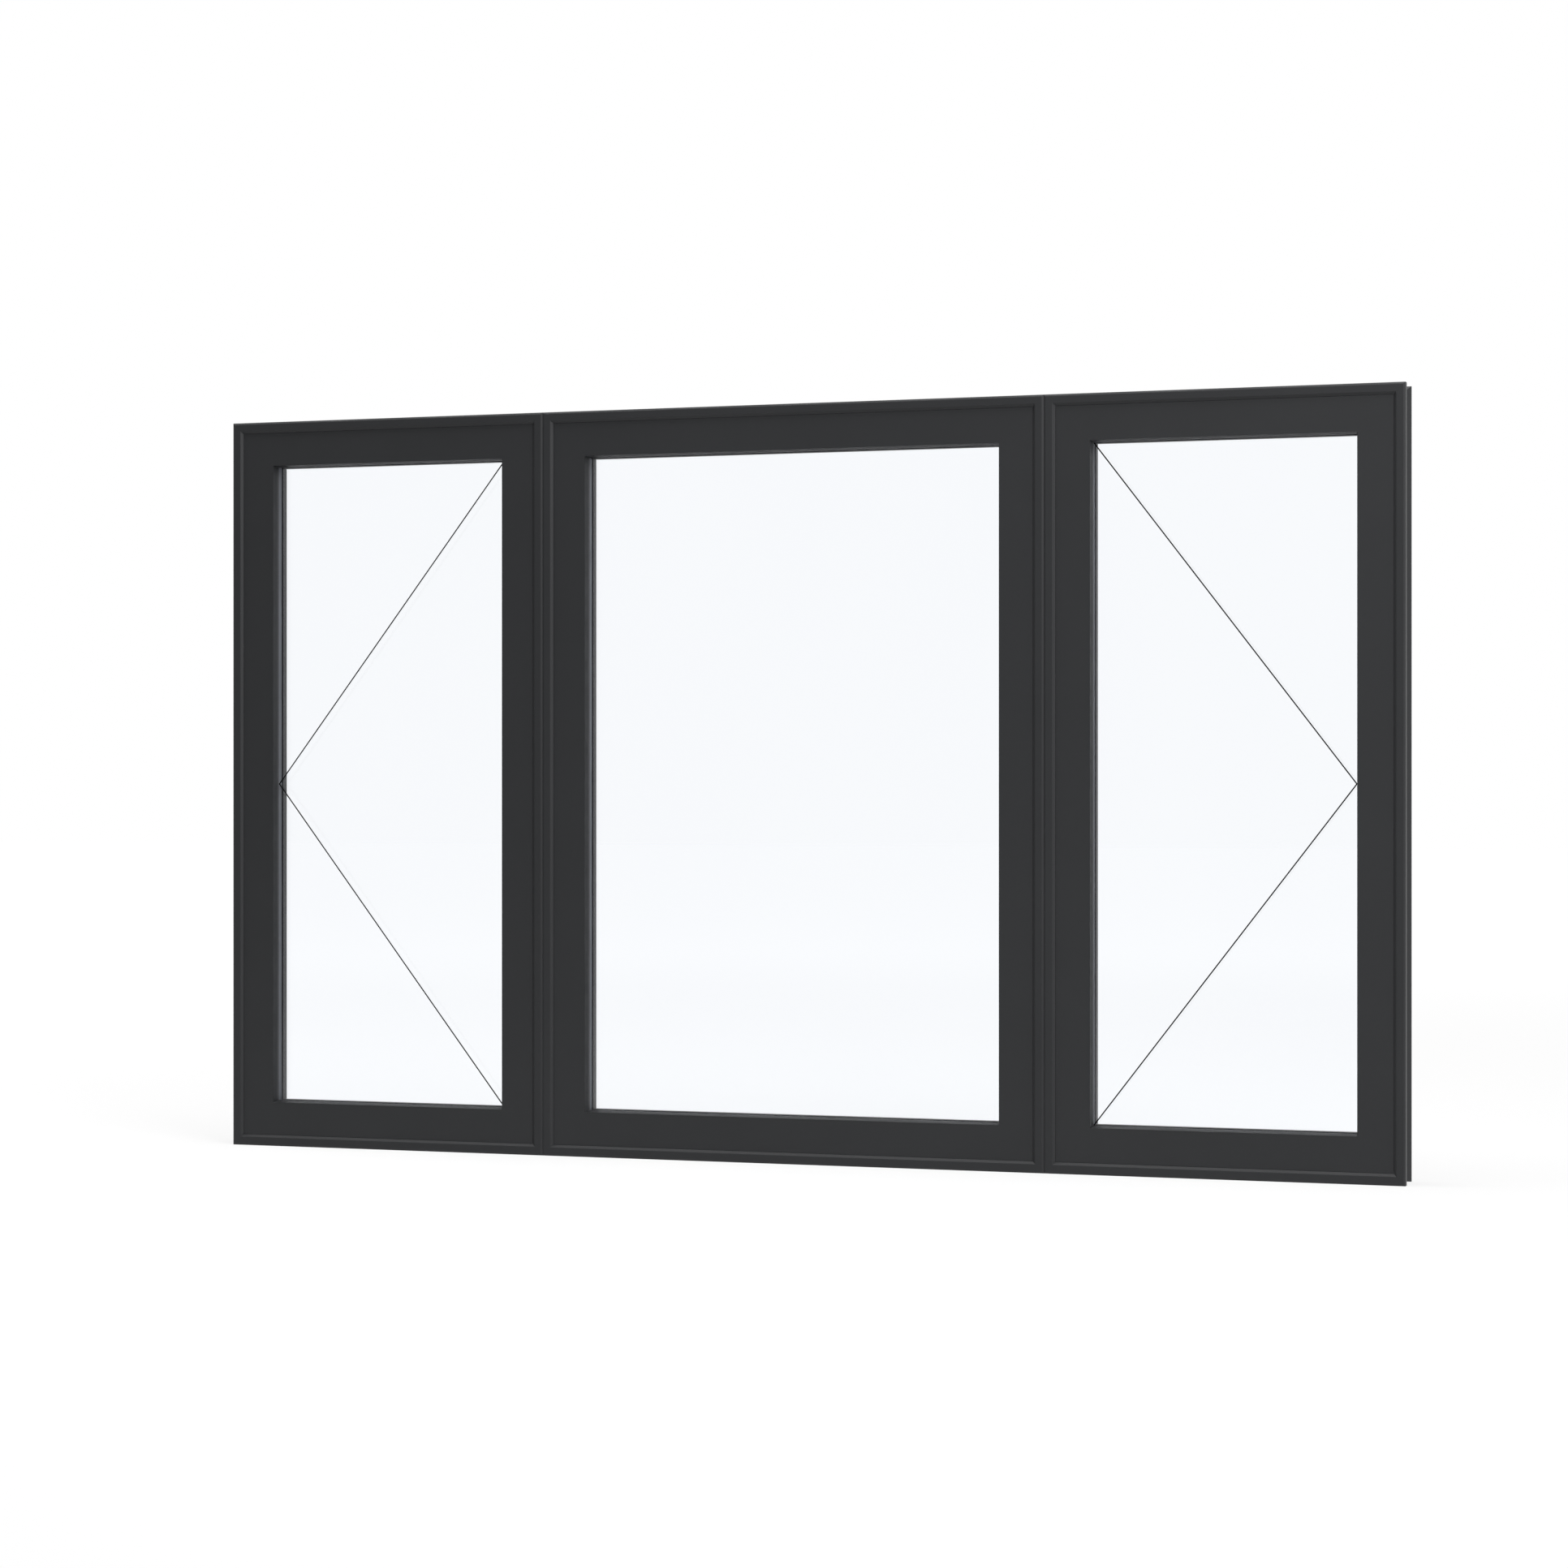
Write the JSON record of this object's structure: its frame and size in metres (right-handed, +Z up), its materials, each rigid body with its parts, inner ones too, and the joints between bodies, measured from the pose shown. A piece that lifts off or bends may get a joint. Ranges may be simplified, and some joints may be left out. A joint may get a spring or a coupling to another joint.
{
  "type": "triple casement window",
  "caption": "Dark grey aluminium window of coupled units in a row: side-hung casements beside a fixed light, with mitred frames and sashes and clear double glazing.",
  "frame": {"origin": "middle of the underside of the sill, on the front band that bears on the opening", "axes": "+X to the right as seen from outside, +Y from outside into the room, +Z up"},
  "size_m": [2.1, 0.093, 1.3],
  "materials": {
    "frame_coat": "satin powder coat, dark charcoal",
    "clear_glass": "clear, polished, faintly blue",
    "gasket_rubber": "matt dark grey rubber",
    "spacer_bar": "matt grey warm-edge spacer",
    "coupling_bar": "plain extruded",
    "handle_coat": "satin powder coat, dark charcoal"
  },
  "bodies": {
    "root": {"left_frame_sill": "frame_coat", "left_frame_head": "frame_coat", "left_frame_jamb_left": "frame_coat", "left_frame_jamb_right": "frame_coat", "left_sash_bottom_rail": "frame_coat", "left_sash_top_rail": "frame_coat", "left_sash_stile_left": "frame_coat", "left_sash_stile_right": "frame_coat", "left_glazing_beads": "frame_coat", "left_weather_seal": "gasket_rubber", "left_glazing_gaskets": "gasket_rubber", "left_glass": "clear_glass", "left_spacer": "spacer_bar", "centre_frame_sill": "frame_coat", "centre_frame_head": "frame_coat", "centre_frame_jamb_left": "frame_coat", "centre_frame_jamb_right": "frame_coat", "centre_sash_bottom_rail": "frame_coat", "centre_sash_top_rail": "frame_coat", "centre_sash_stile_left": "frame_coat", "centre_sash_stile_right": "frame_coat", "centre_glazing_beads": "frame_coat", "centre_weather_seal": "gasket_rubber", "centre_glazing_gaskets": "gasket_rubber", "centre_glass": "clear_glass", "centre_spacer": "spacer_bar", "right_frame_sill": "frame_coat", "right_frame_head": "frame_coat", "right_frame_jamb_left": "frame_coat", "right_frame_jamb_right": "frame_coat", "right_sash_bottom_rail": "frame_coat", "right_sash_top_rail": "frame_coat", "right_sash_stile_left": "frame_coat", "right_sash_stile_right": "frame_coat", "right_glazing_beads": "frame_coat", "right_weather_seal": "gasket_rubber", "right_glazing_gaskets": "gasket_rubber", "right_glass": "clear_glass", "right_spacer": "spacer_bar", "left_coupling": "coupling_bar", "left_handle_base": "handle_coat", "left_handle_lever": "handle_coat", "right_coupling": "coupling_bar", "right_handle_base": "handle_coat", "right_handle_lever": "handle_coat"}
  },
  "joints": []
}
